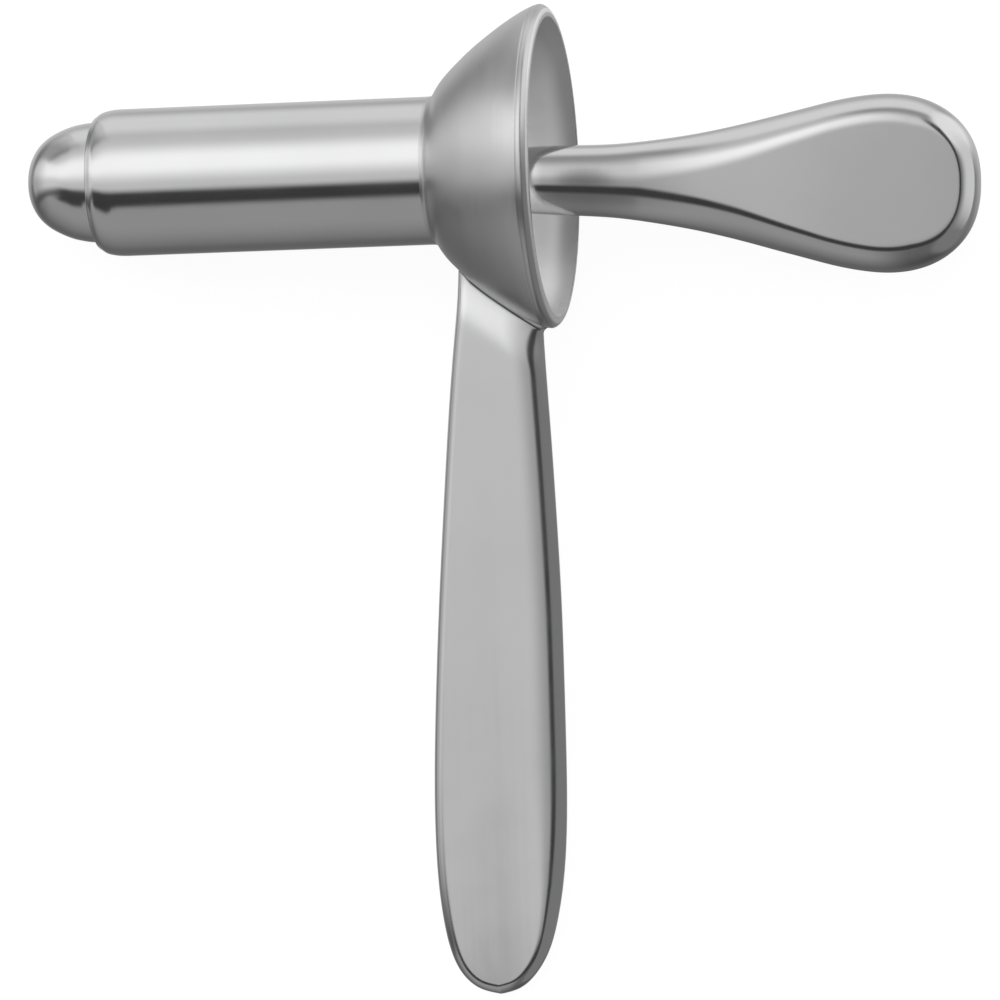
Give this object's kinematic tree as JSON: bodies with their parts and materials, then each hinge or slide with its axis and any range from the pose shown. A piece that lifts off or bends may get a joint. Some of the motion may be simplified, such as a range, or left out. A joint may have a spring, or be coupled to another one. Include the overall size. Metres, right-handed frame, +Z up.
{
  "type": "anoscope",
  "caption": "Tubular anoscope: polished tube with a flared funnel, flat side handle and a loose obturator with a domed tip and a teardrop grip, lying on its side.",
  "frame": {"origin": "centre of the bounding box at its lowest level, which is the table the instrument lies on", "axes": "+Z up from the table, +X from the domed tip towards the obturator's grip, along the instrument's length as seen from above, -Y towards the end of the side handle"},
  "size_m": [0.1444, 0.1476, 0.0477],
  "materials": {
    "tube_steel": "polished, with faint lengthwise and ring marks",
    "funnel_steel": "satin, with fine turning rings inside",
    "handle_steel": "fine satin faces and polished edges",
    "tip_steel": "polished",
    "grip_steel": "polished"
  },
  "bodies": {
    "anoscope_body": {"tube": "tube_steel", "funnel": "funnel_steel", "handle": "handle_steel", "handle_braze": "handle_steel"},
    "obturator_plug": {"obturator_tip": "tip_steel", "obturator_back_plate": "tip_steel"},
    "obturator_grip": {"obturator_stem": "tip_steel", "obturator_handle": "grip_steel"}
  },
  "joints": [
    {"name": "obturator_slide", "type": "slide", "parent": "anoscope_body", "child": "obturator_plug", "axis": [0.9802, 0.0124, 0.1976], "range_m": [0, 0.085]},
    {"name": "obturator_turn", "type": "hinge", "parent": "obturator_plug", "child": "obturator_grip", "pos_m": [-0.04884, 0.04864, 0.01126], "axis": [0.9983, -0.0056, 0.0577], "continuous": true}
  ]
}
